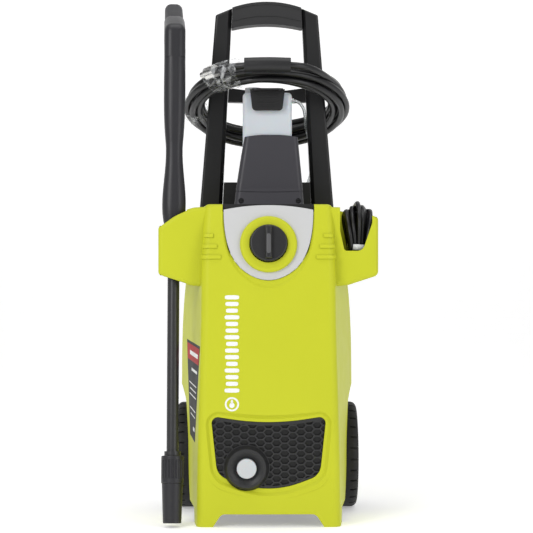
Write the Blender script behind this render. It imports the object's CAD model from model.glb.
import bpy
import bmesh
import math
import random
from mathutils import Matrix, Vector
from mathutils.bvhtree import BVHTree


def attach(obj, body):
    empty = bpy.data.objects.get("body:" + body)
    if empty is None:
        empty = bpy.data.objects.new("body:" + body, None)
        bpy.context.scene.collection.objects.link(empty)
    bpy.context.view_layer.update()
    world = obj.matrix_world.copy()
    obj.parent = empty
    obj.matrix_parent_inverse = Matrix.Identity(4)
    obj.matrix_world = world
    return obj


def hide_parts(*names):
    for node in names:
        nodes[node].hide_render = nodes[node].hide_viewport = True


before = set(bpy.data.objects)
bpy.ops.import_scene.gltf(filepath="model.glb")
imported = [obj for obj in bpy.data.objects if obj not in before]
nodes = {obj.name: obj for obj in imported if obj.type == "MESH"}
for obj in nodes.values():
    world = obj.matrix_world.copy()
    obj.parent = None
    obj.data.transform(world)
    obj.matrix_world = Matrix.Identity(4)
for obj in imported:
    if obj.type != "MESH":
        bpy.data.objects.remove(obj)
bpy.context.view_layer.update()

# ---------------------------------------------------------------- studio
# A pale seamless floor and a white surround, with a wide soft light on each side and one
# overhead. The camera stands back from the machine, level, at half its height, and a
# hand's width to the left of its middle.
CAMERA_HEIGHT = 0.409
CAMERA_SIDE = -0.035
CAMERA_BACK = 2.8825
PICTURE_WIDTH = 0.834            # what the picture spans at the front feet
FRONT_Y = -0.1825                # plane of the front feet
AIM_Y = 0.0795                   # the camera looks at the uprights' plane

camera_data = bpy.data.cameras.new("studio_camera")
camera_data.sensor_width = 36.0
camera_data.lens = camera_data.sensor_width * (CAMERA_BACK + FRONT_Y) / PICTURE_WIDTH
camera_data.shift_x = -0.0004
camera = bpy.data.objects.new("studio_camera", camera_data)
camera.location = (CAMERA_SIDE, -CAMERA_BACK, CAMERA_HEIGHT)
camera.rotation_euler = (math.pi / 2, 0.0, math.atan2(CAMERA_SIDE, CAMERA_BACK + AIM_Y))
bpy.context.scene.collection.objects.link(camera)
bpy.context.scene.camera = camera
bpy.context.scene.view_settings.view_transform = "Standard"


def soft_light(name, spot, aim, size, watts):
    data = bpy.data.lights.new(name, "AREA")
    data.shape = "RECTANGLE"
    data.size, data.size_y = size
    data.energy = watts
    lamp = bpy.data.objects.new(name, data)
    lamp.location = spot
    lamp.rotation_euler = (Vector(aim) - Vector(spot)).to_track_quat("-Z", "Y").to_euler()
    bpy.context.scene.collection.objects.link(lamp)


soft_light("key_light", (-1.5, -2.3, 1.7), (0, 0, 0.45), (1.1, 1.8), 34)
soft_light("fill_light", (1.9, -1.9, 1.1), (0, 0, 0.45), (1.0, 1.8), 15)
soft_light("top_light", (0.0, -0.2, 2.6), (0, 0, 0.4), (2.0, 1.4), 16)

world = bpy.data.worlds.new("studio_surround")
world.use_nodes = True
world.node_tree.nodes["Background"].inputs["Color"].default_value = (1.0, 1.0, 1.0, 1)
world.node_tree.nodes["Background"].inputs["Strength"].default_value = 0.50
bpy.context.scene.world = world

floor_mesh = bpy.data.meshes.new("studio_floor")
sweep = bmesh.new()
rows = [(-4.0, 0.0)]
for k in range(19):
    bend = math.radians(5.0 * k)
    rows.append((3.0 + 1.2 * math.sin(bend), 1.2 * (1 - math.cos(bend))))
rows.append((4.2, 4.0))
lines = [[sweep.verts.new((x, y, z)) for x in (-5.0, 5.0)] for y, z in rows]
for near, far in zip(lines, lines[1:]):
    sweep.faces.new((near[0], near[1], far[1], far[0]))
sweep.to_mesh(floor_mesh)
sweep.free()
floor = bpy.data.objects.new("studio_floor", floor_mesh)
bpy.context.scene.collection.objects.link(floor)
floor_paint = bpy.data.materials.new("floor_paper")
floor_paint.use_nodes = True
floor_shader = floor_paint.node_tree.nodes["Principled BSDF"]
floor_shader.inputs["Base Color"].default_value = (0.92, 0.92, 0.92, 1)
floor_shader.inputs["Roughness"].default_value = 0.8
floor_shader.inputs["Emission Color"].default_value = (1.0, 1.0, 1.0, 1)
floor_shader.inputs["Emission Strength"].default_value = 0.32
floor_mesh.materials.append(floor_paint)

# ---------------------------------------------------------------- coiled hose
# Six metres of black braided rubber hose, wound seven times round both uprights. It
# hangs on the tank's hook in front and on the rear hook behind, lower, and its last
# end lies on top of the bundle at the back.
HOSE_WIDE = 0.011
RING_CENTRE = Vector((0.0, 0.0795, 0.683))
RING_RADIUS = 0.123
RING_LEAN = math.radians(21.5)
POINTS_A_TURN = 18
TURNS = 7
LAST_END = 0.34                  # of a turn more, to the fitting at the back
ON_TOP = (0.002, 0.0262)         # where the last end lies: out from the bundle's middle, and up
# where each turn lies in the bundle: six round a seventh, none of them quite in place
TURN_PLACES = [(0.0095, 0.0102), (-0.0030, 0.0128), (-0.0128, 0.0040), (-0.0088, -0.0098),
               (0.0040, -0.0126), (0.0006, 0.0002), (0.0130, -0.0030)]


def on_ring(angle, out, up):
    """A point of the bundle; angle 0 is the front, and it grows towards +X."""
    reach = RING_RADIUS + out
    flat = Vector((reach * math.sin(angle), -reach * math.cos(angle), up))
    return RING_CENTRE + Matrix.Rotation(-RING_LEAN, 3, "X") @ flat


def smooth_step(t):
    t = max(0.0, min(1.0, t))
    return t * t * (3 - 2 * t)


def nurbs_cord(name, points, diameter):
    """A round cord along a smooth spline with those control points."""
    data = bpy.data.curves.new(name, "CURVE")
    data.dimensions = "3D"
    data.bevel_depth = 1.0           # times each point's own radius
    data.bevel_resolution = 5
    data.resolution_u = 6
    data.use_fill_caps = True
    line = data.splines.new("NURBS")
    line.points.add(len(points) - 1)
    for spot, point in zip(line.points, points):
        spot.co = (*point, 1.0)
        spot.radius = diameter / 2
    line.order_u = 3
    line.use_endpoint_u = True
    made = bpy.data.objects.new(name, data)
    bpy.context.scene.collection.objects.link(made)
    return made


def cord_length(cord):
    """The length of a cord's own line."""
    data = cord.data
    depth = data.bevel_depth
    data.bevel_depth = 0.0
    bpy.context.view_layer.update()
    mesh = bpy.data.meshes.new_from_object(cord)
    total = sum((mesh.vertices[e.vertices[0]].co - mesh.vertices[e.vertices[1]].co).length
                for e in mesh.edges)
    data.bevel_depth = depth
    bpy.data.meshes.remove(mesh)
    return total


def moulded(name, colour, rough, grain=1.0, spread=0.06, edge=0.0006, scale=1.0, gloss=0.42):
    """A moulded polymer: uneven pigment and sheen, a fine grain, and edges a little round."""
    made = bpy.data.materials.new(name)
    made.use_nodes = True
    tree = made.node_tree
    shader = tree.nodes["Principled BSDF"]
    place = tree.nodes.new("ShaderNodeTexCoord")
    cloud = tree.nodes.new("ShaderNodeTexNoise")
    cloud.inputs["Scale"].default_value = 9.0 * scale
    cloud.inputs["Detail"].default_value = 4.0
    tree.links.new(place.outputs["Object"], cloud.inputs["Vector"])
    tint = tree.nodes.new("ShaderNodeMix")
    tint.data_type = "RGBA"
    tint.inputs[6].default_value = (*[c * (1 - spread) for c in colour], 1)
    tint.inputs[7].default_value = (*[min(1, c * (1 + spread)) for c in colour], 1)
    tree.links.new(cloud.outputs["Fac"], tint.inputs[0])
    tree.links.new(tint.outputs[2], shader.inputs["Base Color"])
    haze = tree.nodes.new("ShaderNodeTexNoise")
    haze.inputs["Scale"].default_value = 38.0 * scale
    haze.inputs["Detail"].default_value = 6.0
    tree.links.new(place.outputs["Object"], haze.inputs["Vector"])
    sheen = tree.nodes.new("ShaderNodeMapRange")
    sheen.inputs["To Min"].default_value = rough - 0.07
    sheen.inputs["To Max"].default_value = rough + 0.09
    tree.links.new(haze.outputs["Fac"], sheen.inputs["Value"])
    tree.links.new(sheen.outputs["Result"], shader.inputs["Roughness"])
    pits = tree.nodes.new("ShaderNodeTexNoise")
    pits.inputs["Scale"].default_value = 1500.0 * scale
    pits.inputs["Detail"].default_value = 2.0
    tree.links.new(place.outputs["Object"], pits.inputs["Vector"])
    bump = tree.nodes.new("ShaderNodeBump")
    bump.inputs["Strength"].default_value = 0.10 * grain
    bump.inputs["Distance"].default_value = 0.0004
    tree.links.new(pits.outputs["Fac"], bump.inputs["Height"])
    if edge:
        soften = tree.nodes.new("ShaderNodeBevel")
        soften.samples = 3
        soften.inputs["Radius"].default_value = edge
        tree.links.new(soften.outputs["Normal"], bump.inputs["Normal"])
    tree.links.new(bump.outputs["Normal"], shader.inputs["Normal"])
    shader.inputs["Specular IOR Level"].default_value = gloss
    return made


def metal(name, colour, rough, streak=60.0):
    """Turned, plated or cast metal, with fine tool marks and uneven polish."""
    made = moulded(name, colour, rough, grain=0.5, spread=0.08, scale=1.6)
    shader = made.node_tree.nodes["Principled BSDF"]
    shader.inputs["Metallic"].default_value = 1.0
    tree = made.node_tree
    marks = tree.nodes.new("ShaderNodeTexWave")
    marks.inputs["Scale"].default_value = streak
    marks.inputs["Distortion"].default_value = 6.0
    marks.inputs["Detail"].default_value = 4.0
    place = tree.nodes.new("ShaderNodeTexCoord")
    tree.links.new(place.outputs["Object"], marks.inputs["Vector"])
    turned = tree.nodes.new("ShaderNodeBump")
    turned.inputs["Strength"].default_value = 0.08
    turned.inputs["Distance"].default_value = 0.0003
    tree.links.new(marks.outputs["Fac"], turned.inputs["Height"])
    under = shader.inputs["Normal"].links[0].from_socket
    tree.links.new(under, turned.inputs["Normal"])
    tree.links.new(turned.outputs["Normal"], shader.inputs["Normal"])
    return made


def dress(finish, *names):
    """Gives CAD nodes their finish."""
    for name in names:
        node = nodes[name]
        if node.material_slots:
            node.material_slots[0].material = finish
        else:
            node.data.materials.append(finish)


def mesh_piece(name, shape, finish, body="machine", smooth=True):
    """Makes an object of a finished bmesh and fixes it to a body."""
    mesh = bpy.data.meshes.new(name)
    bmesh.ops.recalc_face_normals(shape, faces=shape.faces)
    shape.to_mesh(mesh)
    shape.free()
    for face in mesh.polygons:
        face.use_smooth = smooth
    made = bpy.data.objects.new(name, mesh)
    bpy.context.scene.collection.objects.link(made)
    made.data.materials.append(finish)
    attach(made, body)
    return made


def turned_shape(shape, foot, way, profile, sides=32):
    """Adds a closed turned body: profile is (distance along way, radius) from end to end."""
    turn = Vector(way).to_track_quat("Z", "Y")
    rings = []
    for along, radius in profile:
        rings.append([shape.verts.new(Vector(foot) + turn @ Vector((
            radius * math.cos(2 * math.pi * k / sides), radius * math.sin(2 * math.pi * k / sides),
            along))) for k in range(sides)])
    for low, high in zip(rings, rings[1:]):
        for k in range(sides):
            after = (k + 1) % sides
            shape.faces.new((low[k], low[after], high[after], high[k]))
    shape.faces.new(rings[0])
    shape.faces.new(rings[-1])


hose_points = [Vector(p) for p in (
    (-0.090, -0.0305, 0.731), (-0.073, -0.0465, 0.735), (-0.050, -0.0605, 0.737),
    (-0.006, -0.0670, 0.738), (0.040, -0.0660, 0.738), (0.066, -0.0555, 0.736),
    (0.086, -0.0355, 0.730))]
start = math.radians(54)
wander = random.Random(7)
steps = int((TURNS + LAST_END) * POINTS_A_TURN)
slack = [wander.uniform(-0.0011, 0.0011) for _ in range(2 * steps + 2)]
widen = RING_RADIUS * (1 / (1 - 0.25 * (1 - math.cos(2 * math.pi / POINTS_A_TURN))) - 1)
for k in range(steps + 1):
    turn = k / POINTS_A_TURN
    lap = min(int(turn), TURNS - 1)
    after = min(lap + 1, TURNS - 1)
    blend = smooth_step((turn - lap - 0.55) / 0.42) if lap < after else 0.0
    out = TURN_PLACES[lap][0] * (1 - blend) + TURN_PLACES[after][0] * blend
    up = TURN_PLACES[lap][1] * (1 - blend) + TURN_PLACES[after][1] * blend
    lift = smooth_step((turn - TURNS + 0.25) / 0.42)
    out += (ON_TOP[0] - out) * lift
    up += (ON_TOP[1] - up) * lift
    hose_points.append(on_ring(start + 2 * math.pi * turn, out + widen + slack[k],
                               up + slack[steps + k]))
hose = nurbs_cord("hose_turns", hose_points, HOSE_WIDE)
hose_rubber = moulded("hose_rubber", (0.0085, 0.0085, 0.0095), 0.30, grain=0.7, spread=0.15, edge=0)
hose.data.materials.append(hose_rubber)
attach(hose, "machine")
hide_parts("hose_coil", "hose_tail")

nickel = metal("nickel_plate", (0.78, 0.77, 0.74), 0.20)
dress(nickel, "hose_nut")
sleeve_rubber = moulded("sleeve_rubber", (0.010, 0.010, 0.011), 0.40, grain=1.2, spread=0.15)
dress(sleeve_rubber, "hose_sleeve")

# the crimped fitting on the last end: a ferrule over the hose and a plain swivel nut
end_way = (hose_points[-1] - hose_points[-2]).normalized()
fitting = bmesh.new()
turned_shape(fitting, hose_points[-1] - 0.017 * end_way, end_way, (
    (0.0, 0.0062), (0.0008, 0.0070), (0.0045, 0.0070), (0.0052, 0.0064), (0.0062, 0.0064),
    (0.0068, 0.0070), (0.0105, 0.0070), (0.0112, 0.0064), (0.0122, 0.0064), (0.0128, 0.0070),
    (0.0185, 0.0070), (0.0190, 0.0085), (0.0200, 0.0090), (0.0300, 0.0090), (0.0308, 0.0083),
    (0.0308, 0.0062), (0.0250, 0.0060)))
end_fitting = mesh_piece("hose_end_fitting", fitting, nickel)

# clear stretch film, wound round the bundle and the loose end, and a second turn lower down
clear_film = bpy.data.materials.new("clear_film")
clear_film.use_nodes = True
film_tree = clear_film.node_tree
film_shader = film_tree.nodes["Principled BSDF"]
film_shader.inputs["Base Color"].default_value = (0.86, 0.88, 0.90, 1)
film_shader.inputs["Roughness"].default_value = 0.16
film_place = film_tree.nodes.new("ShaderNodeTexCoord")
film_folds = film_tree.nodes.new("ShaderNodeTexNoise")
film_folds.inputs["Scale"].default_value = 60.0
film_folds.inputs["Detail"].default_value = 5.0
film_folds.inputs["Distortion"].default_value = 1.6
film_tree.links.new(film_place.outputs["Object"], film_folds.inputs["Vector"])
film_shows = film_tree.nodes.new("ShaderNodeMapRange")
film_shows.inputs["From Min"].default_value = 0.47
film_shows.inputs["From Max"].default_value = 0.74
film_shows.inputs["To Min"].default_value = 0.03
film_shows.inputs["To Max"].default_value = 0.55
film_tree.links.new(film_folds.outputs["Fac"], film_shows.inputs["Value"])
film_tree.links.new(film_shows.outputs["Result"], film_shader.inputs["Alpha"])
film_bump = film_tree.nodes.new("ShaderNodeBump")
film_bump.inputs["Strength"].default_value = 0.45
film_bump.inputs["Distance"].default_value = 0.002
film_tree.links.new(film_folds.outputs["Fac"], film_bump.inputs["Height"])
film_tree.links.new(film_bump.outputs["Normal"], film_shader.inputs["Normal"])


def film_wrap(name, first, last, middle_out, half_out, half_up, seed):
    """A crumpled open tube of film round the bundle between two angles."""
    shape = bmesh.new()
    crease = random.Random(seed)
    ridge = [crease.uniform(-0.0009, 0.0009) for _ in range(40)]
    strips = []
    for i in range(15):
        angle = first + (last - first) * i / 14
        strip = []
        for j in range(40):
            a = 2 * math.pi * j / 40
            crumple = ridge[(j + i // 3) % 40] + crease.uniform(-0.0005, 0.0005)
            strip.append(shape.verts.new(on_ring(
                angle + crease.uniform(-0.01, 0.01),
                middle_out + (half_out + crumple) * math.cos(a), (half_up + crumple) * math.sin(a))))
        strips.append(strip)
    for low, high in zip(strips, strips[1:]):
        for j in range(40):
            shape.faces.new((low[j], low[(j + 1) % 40], high[(j + 1) % 40], high[j]))
    return mesh_piece(name, shape, clear_film, smooth=False)


upper_film = film_wrap("film_upper", math.radians(-42), math.radians(-19), 0.010, 0.0295, 0.0215, 5)
lower_film = film_wrap("film_lower", math.radians(-104), math.radians(-88), 0.0, 0.0212, 0.0212, 6)
print("hose length", cord_length(hose))
round(cord_length(hose), 3)

# ---------------------------------------------------------------- power cord
# Black rubber cord from its gland on the back, round and up into the bin, folded into a
# hank. A white tie pinches the hank at the bin's lip, and the loops fan out above it.
CORD_WIDE = 0.0068
cord_points = [Vector(p) for p in (
    (0.084, 0.1265, 0.430), (0.084, 0.1585, 0.428), (0.103, 0.1805, 0.434), (0.131, 0.1815, 0.447),
    (0.152, 0.1605, 0.460), (0.154, 0.1295, 0.474), (0.152, 0.0985, 0.487), (0.1495, 0.0695, 0.498),
    (0.1475, 0.0425, 0.506), (0.146, 0.0165, 0.509), (0.146, -0.0085, 0.509),
    (0.146, -0.0365, 0.512))]
HANK_MIDDLE = Vector((0.1452, -0.085, 0.460))
TIE_HEIGHT = 0.4405
COLUMNS = (0.0, -0.0072, 0.0072, -0.0143, 0.0143)
NESTS = (0.0440, 0.0370, 0.0300, 0.0232)
LOOP_POINTS = 14


def gather(height):
    """How wide the loops stand at a height: pinched by the tie, fanned above it."""
    if height > TIE_HEIGHT:
        return 0.76 + 0.56 * smooth_step((height - TIE_HEIGHT) / 0.050)
    return 0.76 + 0.24 * smooth_step((TIE_HEIGHT - height) / 0.030)


fold = random.Random(3)
for column, across in enumerate(COLUMNS):
    nests = NESTS if column < len(COLUMNS) - 1 else NESTS[:3]
    for half in nests:
        high = 0.5135 - 0.75 * abs(across) - 0.32 * (NESTS[0] - half) - fold.uniform(0, 0.004)
        low = 0.4085 + 0.25 * (NESTS[0] - half)
        lean = fold.uniform(-0.0012, 0.0012)
        twist = fold.uniform(-0.11, 0.11)
        stagger = 0.0018 if column in (1, 2) else -0.0018
        for k in range(LOOP_POINTS):
            a = 2 * math.pi * k / LOOP_POINTS
            # from the top, forwards and down, then back under and up
            y = -half * math.sin(a)
            straight = (high - low) / 2 - half
            z = (high + low) / 2 + math.copysign(straight, math.cos(a)) + half * math.cos(a)
            spread = gather(z)
            x = (across + lean) * spread + max(0.0, spread - 0.8) * twist * y
            cord_points.append(Vector((HANK_MIDDLE.x + x, HANK_MIDDLE.y + y + stagger, z)))
cord_points += [Vector(p) for p in (
    (0.158, -0.085, 0.4985), (0.158, -0.100, 0.494), (0.1575, -0.110, 0.482),
    (0.156, -0.114, 0.466), (0.154, -0.114, 0.449), (0.152, -0.1085, 0.433),
    (0.1495, -0.096, 0.4225), (0.1475, -0.079, 0.418), (0.146, -0.056, 0.4175),
    (0.146, -0.0345, 0.418))]
power_cord = nurbs_cord("power_lead", cord_points, CORD_WIDE)
cord_rubber = moulded("cord_rubber", (0.0075, 0.0075, 0.008), 0.34, grain=0.6, spread=0.15, edge=0)
power_cord.data.materials.append(cord_rubber)
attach(power_cord, "machine")
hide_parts("power_cord", "cord_hank")

# the tie: a strip of white plastic drawn round the hank
tie = bmesh.new()
tie_rings = []
for height, proud in ((-0.0045, 0.0), (-0.0045, 0.0011), (0.0, 0.0014), (0.0045, 0.0011),
                      (0.0045, 0.0)):
    ring = []
    for k in range(48):
        a = 2 * math.pi * k / 48
        reach = 1 / (abs(math.cos(a) / (0.0152 + proud)) ** 3.2
                     + abs(math.sin(a) / (0.0482 + proud)) ** 3.2) ** (1 / 3.2)
        ring.append(tie.verts.new((
            HANK_MIDDLE.x + reach * math.cos(a), HANK_MIDDLE.y + reach * math.sin(a),
            TIE_HEIGHT + height + 0.0016 * math.sin(2 * a + 0.6))))
    tie_rings.append(ring)
for low, high in zip(tie_rings, tie_rings[1:] + tie_rings[:1]):
    for k in range(48):
        tie.faces.new((low[k], low[(k + 1) % 48], high[(k + 1) % 48], high[k]))
tie_plastic = moulded("tie_plastic", (0.66, 0.67, 0.68), 0.28, grain=1.5, spread=0.18, scale=6.0)
hank_tie = mesh_piece("hank_tie", tie, tie_plastic)
plug_rubber = moulded("plug_rubber", (0.010, 0.010, 0.010), 0.45, grain=1.5, spread=0.15)
dress(plug_rubber, "plug", "cord_gland")
print("cord length", cord_length(power_cord))
round(cord_length(power_cord), 3)

# ---------------------------------------------------------------- housing
# Two shells moulded in lime green ABS with a satin skin, screwed together from behind.
# The front one carries the feet, the gun's holster and the cord's bin.
lime_plastic = moulded("lime_plastic", (0.505, 0.535, 0.021), 0.46, grain=0.8, spread=0.035,
                       edge=0.0009, gloss=0.20)
dress(lime_plastic, "front_shell", "rear_shell", "knob_bezel")
black_screw = metal("black_screw", (0.045, 0.045, 0.048), 0.35)
dress(black_screw, "cover_screws", "handle_bolts")


def surface_of(name):
    """The skin of a CAD node, for laying thin pieces on it."""
    node = nodes[name]
    return BVHTree.FromPolygons([node.matrix_world @ v.co for v in node.data.vertices],
                                [list(face.vertices) for face in node.data.polygons])


def onto(skin, spot, toward, proud):
    """Where a line through spot first meets the skin, lifted a little off it."""
    found = skin.ray_cast(Vector(spot) - 0.3 * Vector(toward), Vector(toward))
    if found[0] is None:
        return Vector(spot)
    return found[0] - proud * Vector(toward)


PATCH_RINGS = (0.0, 0.03, 0.25, 0.5, 0.75, 0.96, 1.0)     # shares of the way out to its edge
PATCH_SIDES = 40
SUNK_EDGE = 0.0002


def round_patch(shape, skin, toward, centre, across, up, power=2.0, hole=0.0, proud=0.0003):
    """A thin printed or stuck-on shape with rounded outline, its edge sunk in the skin."""
    rings = []
    for share in PATCH_RINGS:
        reach = hole + (1 - hole) * share
        edge = share == 1.0 or (hole > 0 and share == 0.0)
        rings.append([shape.verts.new(onto(skin, Vector(centre) + max(reach, 0.01) * (
            Vector(across) * math.copysign(abs(math.cos(a)) ** (2 / power), math.cos(a))
            + Vector(up) * math.copysign(abs(math.sin(a)) ** (2 / power), math.sin(a))),
            toward, -SUNK_EDGE if edge else proud))
            for a in (math.pi * k / 20 for k in range(PATCH_SIDES))])
    for low, high in zip(rings, rings[1:]):
        for k in range(PATCH_SIDES):
            after = (k + 1) % PATCH_SIDES
            shape.faces.new((low[k], low[after], high[after], high[k]))
    if hole == 0.0:
        shape.faces.new(rings[0])


# a plain white printed motif up the front: a ring with a drop in it, and a ladder of rounded bars
front_skin = surface_of("front_shell")
MOTIF_X = -0.0575
EMBLEM_Z = 0.1935
EMBLEM_RADIUS = 0.0112
BARS = 15
LOWEST_BAR = 0.2150
BAR_PITCH = 0.0104
BAR_HALF_TALL = 0.0034
FORWARD = (0, 1, 0)
BACKWARD = (0, -1, 0)
motif = bmesh.new()
round_patch(motif, front_skin, FORWARD, (MOTIF_X, 0, EMBLEM_Z),
            (EMBLEM_RADIUS, 0, 0), (0, 0, EMBLEM_RADIUS), hole=0.74)
round_patch(motif, front_skin, FORWARD, (MOTIF_X, 0, 0.1918), (0.0042, 0, 0), (0, 0, 0.0042))
round_patch(motif, front_skin, FORWARD, (MOTIF_X, 0, 0.1972), (0.0019, 0, 0), (0, 0, 0.0040), power=1.3)
for k in range(BARS):
    half_wide = 0.0118 - 0.0026 * math.sin(1.15 * k) ** 2
    round_patch(motif, front_skin, FORWARD, (MOTIF_X, 0, LOWEST_BAR + BAR_PITCH * k),
                (half_wide, 0, 0), (0, 0, BAR_HALF_TALL), power=4.0)
white_ink = moulded("white_ink", (0.80, 0.81, 0.80), 0.38, grain=0.4, spread=0.02, edge=0)
mesh_piece("front_motif", motif, white_ink)

# a graphite film label on the left flank, with a red head and pale rules, no lettering
LABEL_CORNERS = [Vector(p) for p in (
    (0, -0.1650, 0.283), (0, 0.0100, 0.288), (0, -0.0570, 0.135), (0, -0.1330, 0.128))]


def label_area(shape, left, right, low, high, proud):
    """Part of the label, between shares of its width and height."""
    top_front, top_rear, low_rear, low_front = LABEL_CORNERS
    rows = []
    for j in range(13):
        v = low + (high - low) * j / 12
        row = []
        for i in range(13):
            u = left + (right - left) * i / 12
            flat = (low_front.lerp(low_rear, u)).lerp(top_front.lerp(top_rear, u), v)
            rim = i in (0, 12) or j in (0, 12)
            row.append(shape.verts.new(onto(front_skin, flat, (1, 0, 0),
                                            proud - 0.0003 if rim else proud)))
        rows.append(row)
    for near, far in zip(rows, rows[1:]):
        for i in range(12):
            shape.faces.new((near[i], near[i + 1], far[i + 1], far[i]))


label = bmesh.new()
label_area(label, 0.0, 1.0, 0.0, 1.0, 0.0003)
graphite_film = moulded("graphite_film", (0.014, 0.014, 0.016), 0.55, grain=0.3, edge=0, gloss=0.15)
mesh_piece("flank_label", label, graphite_film)
label_head = bmesh.new()
label_area(label_head, 0.03, 0.97, 0.80, 0.97, 0.0006)
red_film = moulded("red_film", (0.40, 0.012, 0.012), 0.55, grain=0.3, edge=0, gloss=0.15)
mesh_piece("flank_label_head", label_head, red_film)
# each rule: its foot, its height, its left and its right, in shares of the label
LABEL_RULES = ((0.86, 0.045, 0.10, 0.74), (0.70, 0.030, 0.10, 0.60),
               (0.56, 0.012, 0.10, 0.84), (0.50, 0.012, 0.10, 0.78),
               (0.44, 0.012, 0.10, 0.84), (0.30, 0.012, 0.10, 0.80),
               (0.24, 0.012, 0.10, 0.72), (0.10, 0.040, 0.10, 0.34))
label_rules = bmesh.new()
for low, tall, left, right in LABEL_RULES:
    label_area(label_rules, left, right, low, low + tall, 0.0009)
mesh_piece("flank_label_rules", label_rules, white_ink)

# screws that hold the rear shell, in the four corners of its back
rear_skin = surface_of("rear_shell")
BACK_SCREWS = ((-0.092, 0.235), (0.092, 0.235), (-0.088, 0.484), (0.088, 0.484))
back_screws = bmesh.new()
for x, z in BACK_SCREWS:
    seat = onto(rear_skin, (x, 0.1, z), BACKWARD, -0.0006)
    turned_shape(back_screws, seat, (0, 1, 0), (
        (0.0, 0.0046), (0.0012, 0.0046), (0.0023, 0.0037), (0.0029, 0.0021), (0.0029, 0.0020),
        (0.0013, 0.0016)), sides=6)
mesh_piece("shell_screws", back_screws, black_screw, smooth=False)

# a plain bright rating plate, blank, between two rivets on the back
PLATE_Z = 0.330
RIVET_X = 0.0285
plate = bmesh.new()
round_patch(plate, rear_skin, BACKWARD, (0, 0.1, PLATE_Z), (0.033, 0, 0), (0, 0, 0.019), power=9.0,
            proud=0.0005)
for x in (-RIVET_X, RIVET_X):
    turned_shape(plate, onto(rear_skin, (x, 0.1, PLATE_Z), BACKWARD, 0.0), (0, 1, 0), (
        (0.0, 0.0017), (0.0010, 0.0017), (0.0015, 0.0009)), sides=16)
plate_foil = metal("plate_foil", (0.62, 0.63, 0.64), 0.32, streak=120.0)
mesh_piece("blank_plate", plate, plate_foil)

# ---------------------------------------------------------------- switch panel and knob
# A light grey moulded panel set in the green shell, and a black rotary knob on a green
# bezel. The knob's bar carries a grey pointer strip.
panel_plastic = moulded("panel_plastic", (0.52, 0.523, 0.527), 0.44, grain=0.8, spread=0.025)
dress(panel_plastic, "control_panel")
knob_plastic = moulded("knob_plastic", (0.014, 0.014, 0.015), 0.36, grain=1.4, spread=0.15)
dress(knob_plastic, "power_knob")
pointer = bmesh.new()
knob_skin = surface_of("power_knob")
round_patch(pointer, knob_skin, FORWARD, (0, 0, 0.4455), (0.0034, 0, 0), (0, 0, 0.0155), power=5.0,
            proud=0.0004)
pointer_grey = moulded("pointer_grey", (0.085, 0.085, 0.088), 0.40, grain=0.8, edge=0)
mesh_piece("knob_pointer", pointer, pointer_grey, body="knob")

# ---------------------------------------------------------------- grille and dust cap
# A black moulded grille of blind six-sided cells, whose floors are darker than its face.
# A white polythene cap pushed into its dished boss keeps the pressure outlet clean.
grille_plastic = moulded("grille_plastic", (0.017, 0.017, 0.018), 0.42, grain=1.2, spread=0.12)
grille_tree = grille_plastic.node_tree
grille_shader = grille_tree.nodes["Principled BSDF"]
grille_place = grille_tree.nodes.new("ShaderNodeTexCoord")
grille_axes = grille_tree.nodes.new("ShaderNodeSeparateXYZ")
grille_tree.links.new(grille_place.outputs["Object"], grille_axes.inputs["Vector"])
CELL_FACE_Y = -0.1770
CELL_FLOOR_Y = -0.1735
cell_deep = grille_tree.nodes.new("ShaderNodeMapRange")
cell_deep.inputs["From Min"].default_value = CELL_FACE_Y
cell_deep.inputs["From Max"].default_value = CELL_FLOOR_Y
grille_tree.links.new(grille_axes.outputs["Y"], cell_deep.inputs["Value"])
cell_shade = grille_tree.nodes.new("ShaderNodeMix")
cell_shade.data_type = "RGBA"
cell_shade.inputs[7].default_value = (0.004, 0.004, 0.004, 1)
grille_tree.links.new(grille_shader.inputs["Base Color"].links[0].from_socket, cell_shade.inputs[6])
grille_tree.links.new(cell_deep.outputs["Result"], cell_shade.inputs[0])
grille_tree.links.new(cell_shade.outputs[2], grille_shader.inputs["Base Color"])
dress(grille_plastic, "grille")
cap_polythene = moulded("cap_polythene", (0.52, 0.545, 0.56), 0.46, grain=1.0, spread=0.03)
cap_polythene.node_tree.nodes["Principled BSDF"].inputs["Subsurface Weight"].default_value = 0.12
cap_polythene.node_tree.nodes["Principled BSDF"].inputs["Subsurface Scale"].default_value = 0.002
dress(cap_polythene, "outlet_cap", "filler_cap")

# ---------------------------------------------------------------- chassis and wheels
# A black polypropylene chassis with a textured skin, two blow-moulded wheels on a steel
# axle, and hard rubber tyres, scuffed grey where they roll.
chassis_plastic = moulded("chassis_plastic", (0.012, 0.012, 0.013), 0.52, grain=2.2, spread=0.2)
dress(chassis_plastic, "chassis", "power_switch")
wheel_plastic = moulded("wheel_plastic", (0.009, 0.009, 0.0095), 0.40, grain=1.4, spread=0.18)
dress(wheel_plastic, "wheel_left", "wheel_right")
tyre_rubber = moulded("tyre_rubber", (0.0065, 0.0065, 0.0068), 0.62, grain=2.6, spread=0.3)
tyre_tree = tyre_rubber.node_tree
tyre_shader = tyre_tree.nodes["Principled BSDF"]
tyre_place = tyre_tree.nodes.new("ShaderNodeTexCoord")
tyre_scuff = tyre_tree.nodes.new("ShaderNodeTexNoise")
tyre_scuff.inputs["Scale"].default_value = 150.0
tyre_scuff.inputs["Detail"].default_value = 8.0
tyre_tree.links.new(tyre_place.outputs["Object"], tyre_scuff.inputs["Vector"])
tyre_worn = tyre_tree.nodes.new("ShaderNodeMapRange")
tyre_worn.inputs["From Min"].default_value = 0.58
tyre_worn.inputs["From Max"].default_value = 0.72
tyre_worn.inputs["To Max"].default_value = 0.5
tyre_tree.links.new(tyre_scuff.outputs["Fac"], tyre_worn.inputs["Value"])
tyre_grey = tyre_tree.nodes.new("ShaderNodeMix")
tyre_grey.data_type = "RGBA"
tyre_grey.inputs[7].default_value = (0.032, 0.031, 0.030, 1)
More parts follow.
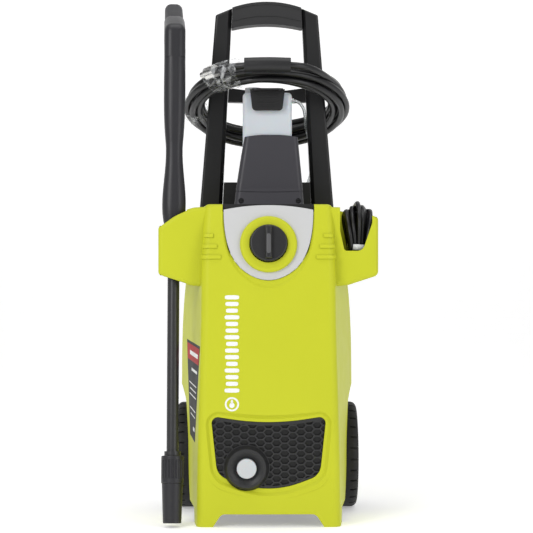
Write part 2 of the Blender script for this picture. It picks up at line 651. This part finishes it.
tyre_tree.links.new(tyre_shader.inputs["Base Color"].links[0].from_socket, tyre_grey.inputs[6])
tyre_tree.links.new(tyre_worn.outputs["Result"], tyre_grey.inputs[0])
tyre_tree.links.new(tyre_grey.outputs[2], tyre_shader.inputs["Base Color"])
dress(tyre_rubber, "tyre_left", "tyre_right")
dress(nickel, "axle", "axle_caps")

# ---------------------------------------------------------------- carrying handle and deck
# Black glass-filled nylon uprights and crossbars bolted together, a bridge overmoulded in
# softer rubber, and the deck that closes the housing under the tank.
upright_nylon = moulded("upright_nylon", (0.0105, 0.0105, 0.0112), 0.33, grain=1.3, spread=0.15)
dress(upright_nylon, "handle_left", "handle_right", "upper_crossbar", "lower_crossbar",
      "front_hose_hook", "rear_hose_hook")
grip_skin = moulded("grip_skin", (0.019, 0.019, 0.020), 0.55, grain=3.0, spread=0.15, scale=0.6)
dress(grip_skin, "handle_grip")
deck_plastic = moulded("deck_plastic", (0.0085, 0.0085, 0.0090), 0.36, grain=1.3, spread=0.15)
dress(deck_plastic, "deck")

# ---------------------------------------------------------------- tank and cover
# A natural polythene bottle for detergent, milky and cool, under a charcoal moulded cover,
# with a clear vinyl tube that draws from it.
cover_plastic = moulded("cover_plastic", (0.039, 0.0375, 0.046), 0.40, grain=1.2, spread=0.07)
dress(cover_plastic, "tank_cover")
tank_polythene = moulded("tank_polythene", (0.80, 0.83, 0.88), 0.38, grain=0.8, spread=0.05, scale=0.6)
tank_shader = tank_polythene.node_tree.nodes["Principled BSDF"]
tank_shader.inputs["Transmission Weight"].default_value = 0.30
tank_shader.inputs["Subsurface Weight"].default_value = 0.20
tank_shader.inputs["Subsurface Scale"].default_value = 0.006
tank_shader.inputs["IOR"].default_value = 1.40
dress(tank_polythene, "detergent_tank")
clear_vinyl = moulded("clear_vinyl", (0.80, 0.83, 0.84), 0.14, grain=0.3, spread=0.02, edge=0)
clear_vinyl.node_tree.nodes["Principled BSDF"].inputs["Transmission Weight"].default_value = 0.75
clear_vinyl.node_tree.nodes["Principled BSDF"].inputs["IOR"].default_value = 1.42
dress(clear_vinyl, "siphon_tube")

# ---------------------------------------------------------------- spray gun
# A black nylon gun in two moulded halves with a softer charcoal grip, a painted steel
# lance in a plastic sleeve, and a ribbed collar that sets the spray.
gun_nylon = moulded("gun_nylon", (0.0165, 0.0160, 0.0195), 0.38, grain=1.6, spread=0.12)
dress(gun_nylon, "gun_shell", "nozzle_tip", "nozzle_collar")
gun_soft = moulded("gun_soft", (0.026, 0.0255, 0.029), 0.58, grain=3.4, spread=0.12, scale=0.7)
dress(gun_soft, "gun_grip")
lance_paint = moulded("lance_paint", (0.026, 0.026, 0.028), 0.30, grain=0.7, spread=0.10, edge=0)
dress(lance_paint, "lance_tube")
trigger_plastic = moulded("trigger_plastic", (0.085, 0.085, 0.092), 0.42, grain=1.2, spread=0.08)
dress(trigger_plastic, "trigger", "trigger_lock")

# ---------------------------------------------------------------- pump and motor
# Inside: a die-cast pump with steel pistons, a laminated motor with a plastic fan, brass
# water fittings, a bent steel pressure pipe and a rubber feed hose.
turned_brass = metal("turned_brass", (0.70, 0.50, 0.21), 0.26)
dress(turned_brass, "outlet_fitting", "inlet_fitting", "gun_inlet")
cast_alloy = metal("cast_alloy", (0.52, 0.53, 0.54), 0.48, streak=24.0)
dress(cast_alloy, "pump_block", "pump_head", "gear_case", "motor_end_bell", "pump_plate")
motor_iron = metal("motor_iron", (0.30, 0.30, 0.31), 0.44, streak=160.0)
dress(motor_iron, "motor_stator", "motor_rotor", "wobble_drive")
drawn_steel = metal("drawn_steel", (0.56, 0.56, 0.57), 0.24)
dress(drawn_steel, "piston_springs", "pistons", "pressure_pipe")
fan_plastic = moulded("fan_plastic", (0.014, 0.014, 0.015), 0.45, grain=1.2, spread=0.2)
dress(fan_plastic, "cooling_fan")
dress(hose_rubber, "inlet_hose")

bpy.context.view_layer.update()
